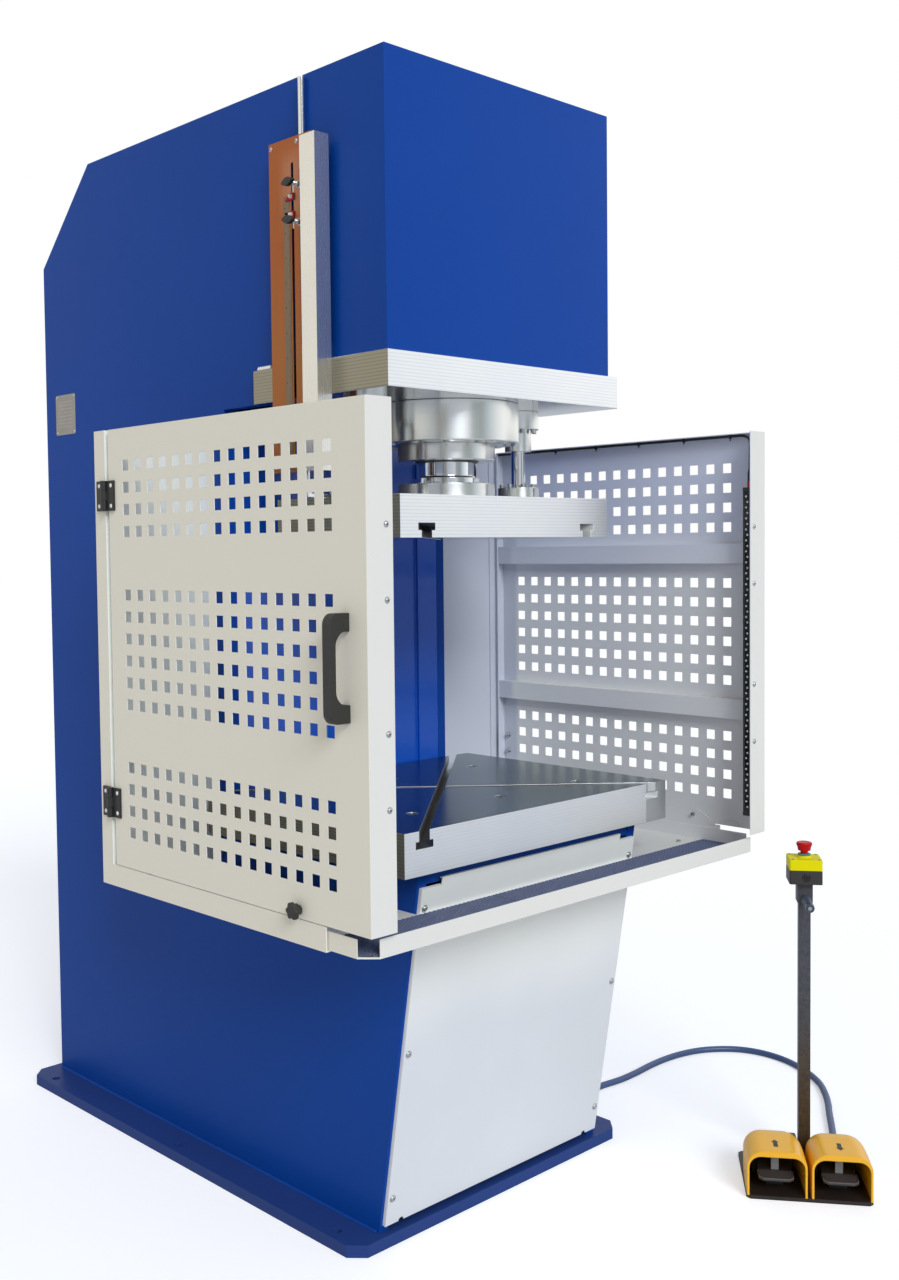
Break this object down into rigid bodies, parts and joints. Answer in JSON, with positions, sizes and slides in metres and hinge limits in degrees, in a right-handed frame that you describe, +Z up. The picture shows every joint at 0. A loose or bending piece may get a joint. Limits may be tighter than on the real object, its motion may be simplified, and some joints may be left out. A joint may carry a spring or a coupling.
{
  "type": "hydraulic press",
  "caption": "C-frame workshop press with a downward ram on guide rods, slotted table, swinging perforated side guards, stroke gauge and a double foot pedal on a cable.",
  "frame": {"origin": "centre of the base plate on the floor", "axes": "-Y towards the operator, +X to the operator's right, +Z up"},
  "size_m": [1.744, 1.8638, 2.33],
  "materials": {
    "blue_paint": "semi-gloss blue paint",
    "machined_steel": "fine milled steel",
    "chrome": "ground hard chrome",
    "pale_paint": "pale grey powder coat",
    "guard_paint": "grey beige powder coat",
    "zinc": "zinc plated",
    "dark_steel": "dark grey paint",
    "mat": "black ribbed mat",
    "gauge_metal": "bronze tinted brushed plate",
    "cream_paint": "cream powder coat",
    "black_plastic": "matt black",
    "yellow_plastic": "amber yellow moulding",
    "lemon_plastic": "bright yellow moulding",
    "red_plastic": "glossy red",
    "post_paint": "black brown paint",
    "cable_rubber": "dark blue grey sheath"
  },
  "bodies": {
    "frame": {"base_plate": "blue_paint", "frame_side_left": "blue_paint", "frame_side_right": "blue_paint", "head_front_plate": "blue_paint", "frame_back_plate": "blue_paint", "throat_plate": "blue_paint", "bed_plate": "blue_paint", "head_plate": "machined_steel", "work_table": "machined_steel", "front_cover": "pale_paint", "cover_screws": "zinc", "table_screws": "dark_steel", "cylinder_barrel": "dark_steel", "cylinder_gland": "machined_steel", "gland_ring": "machined_steel", "guide_bosses": "machined_steel", "oil_tank": "dark_steel", "pump_motor": "dark_steel", "valve_block": "machined_steel", "hydraulic_pipes": "zinc", "left_guard_frame": "guard_paint", "right_guard_frame": "guard_paint", "guard_tray": "pale_paint", "tray_mesh": "mat", "gauge_plate": "gauge_metal", "gauge_channel": "cream_paint", "gauge_brackets": "zinc", "post_hinge_leaves": "black_plastic", "pedal_base": "dark_steel", "pedal_post": "post_paint", "pedal_hoods": "yellow_plastic", "pedal_switches": "black_plastic", "stop_box_base": "black_plastic", "stop_box_lid": "lemon_plastic", "cable_glands": "black_plastic", "foot_cable": "cable_rubber"},
    "ram": {"piston_rod": "chrome", "ram_flange": "machined_steel", "ram_plate": "machined_steel", "guide_rods": "chrome", "guide_flanges": "machined_steel", "trip_rod": "chrome"},
    "left_door": {"left_door": "guard_paint", "left_hinge_leaves": "black_plastic", "left_handle": "black_plastic", "left_light_curtain": "black_plastic"},
    "right_door": {"right_door": "guard_paint", "right_hinge_leaves": "black_plastic", "right_handle": "black_plastic", "right_light_curtain": "black_plastic", "curtain_cable": "black_plastic"},
    "left_knob": {"left_star_knob": "black_plastic"},
    "right_knob": {"right_star_knob": "black_plastic"},
    "upper_stop": {"upper_stop": "red_plastic"},
    "lower_stop": {"lower_stop": "red_plastic"},
    "upper_thumb_screw": {"upper_thumb_screw": "black_plastic"},
    "lower_thumb_screw": {"lower_thumb_screw": "black_plastic"},
    "left_pedal": {"left_pedal": "dark_steel"},
    "right_pedal": {"right_pedal": "dark_steel"},
    "stop_button": {"stop_button": "red_plastic"}
  },
  "joints": [
    {"name": "ram_stroke", "type": "slide", "parent": "frame", "child": "ram", "axis": [0, 0, -1], "range_m": [0, 0.35]},
    {"name": "left_door_swing", "type": "hinge", "parent": "frame", "child": "left_door", "pos_m": [-0.613, -0.106, 1.177], "axis": [0, 0, -1], "range_deg": [0, 110]},
    {"name": "right_door_swing", "type": "hinge", "parent": "frame", "child": "right_door", "pos_m": [0.613, -0.106, 1.177], "axis": [0, 0, 1], "range_deg": [0, 110]},
    {"name": "left_knob_turn", "type": "hinge", "parent": "left_door", "child": "left_knob", "pos_m": [-0.603, -0.717, 0.743], "axis": [-1, 0, 0], "continuous": true},
    {"name": "right_knob_turn", "type": "hinge", "parent": "right_door", "child": "right_knob", "pos_m": [0.603, -0.717, 0.743], "axis": [1, 0, 0], "continuous": true},
    {"name": "upper_stop_slide", "type": "slide", "parent": "frame", "child": "upper_stop", "axis": [0, 0, 1], "range_m": [-0.018, 0.028]},
    {"name": "lower_stop_slide", "type": "slide", "parent": "frame", "child": "lower_stop", "axis": [0, 0, 1], "range_m": [-0.22, 0]},
    {"name": "upper_thumb_turn", "type": "hinge", "parent": "upper_stop", "child": "upper_thumb_screw", "pos_m": [-0.36, -0.452, 2.106], "axis": [-1, 0, 0], "continuous": true},
    {"name": "lower_thumb_turn", "type": "hinge", "parent": "lower_stop", "child": "lower_thumb_screw", "pos_m": [-0.36, -0.452, 2.032], "axis": [-1, 0, 0], "continuous": true},
    {"name": "left_pedal_press", "type": "hinge", "parent": "frame", "child": "left_pedal", "pos_m": [0.48187, -0.99799, 0.048], "axis": [0.606, -0.7955, 0], "range_deg": [0, 8], "stiffness_Nm_per_rad": 3, "springref_deg": -22.92},
    {"name": "right_pedal_press", "type": "hinge", "parent": "frame", "child": "right_pedal", "pos_m": [0.56186, -1.10299, 0.048], "axis": [0.606, -0.7955, 0], "range_deg": [0, 8], "stiffness_Nm_per_rad": 3, "springref_deg": -22.92},
    {"name": "stop_button_press", "type": "slide", "parent": "frame", "child": "stop_button", "axis": [0, 0, -1], "range_m": [0, 0.005], "stiffness_N_per_m": 500, "springref_m": -0.006}
  ]
}
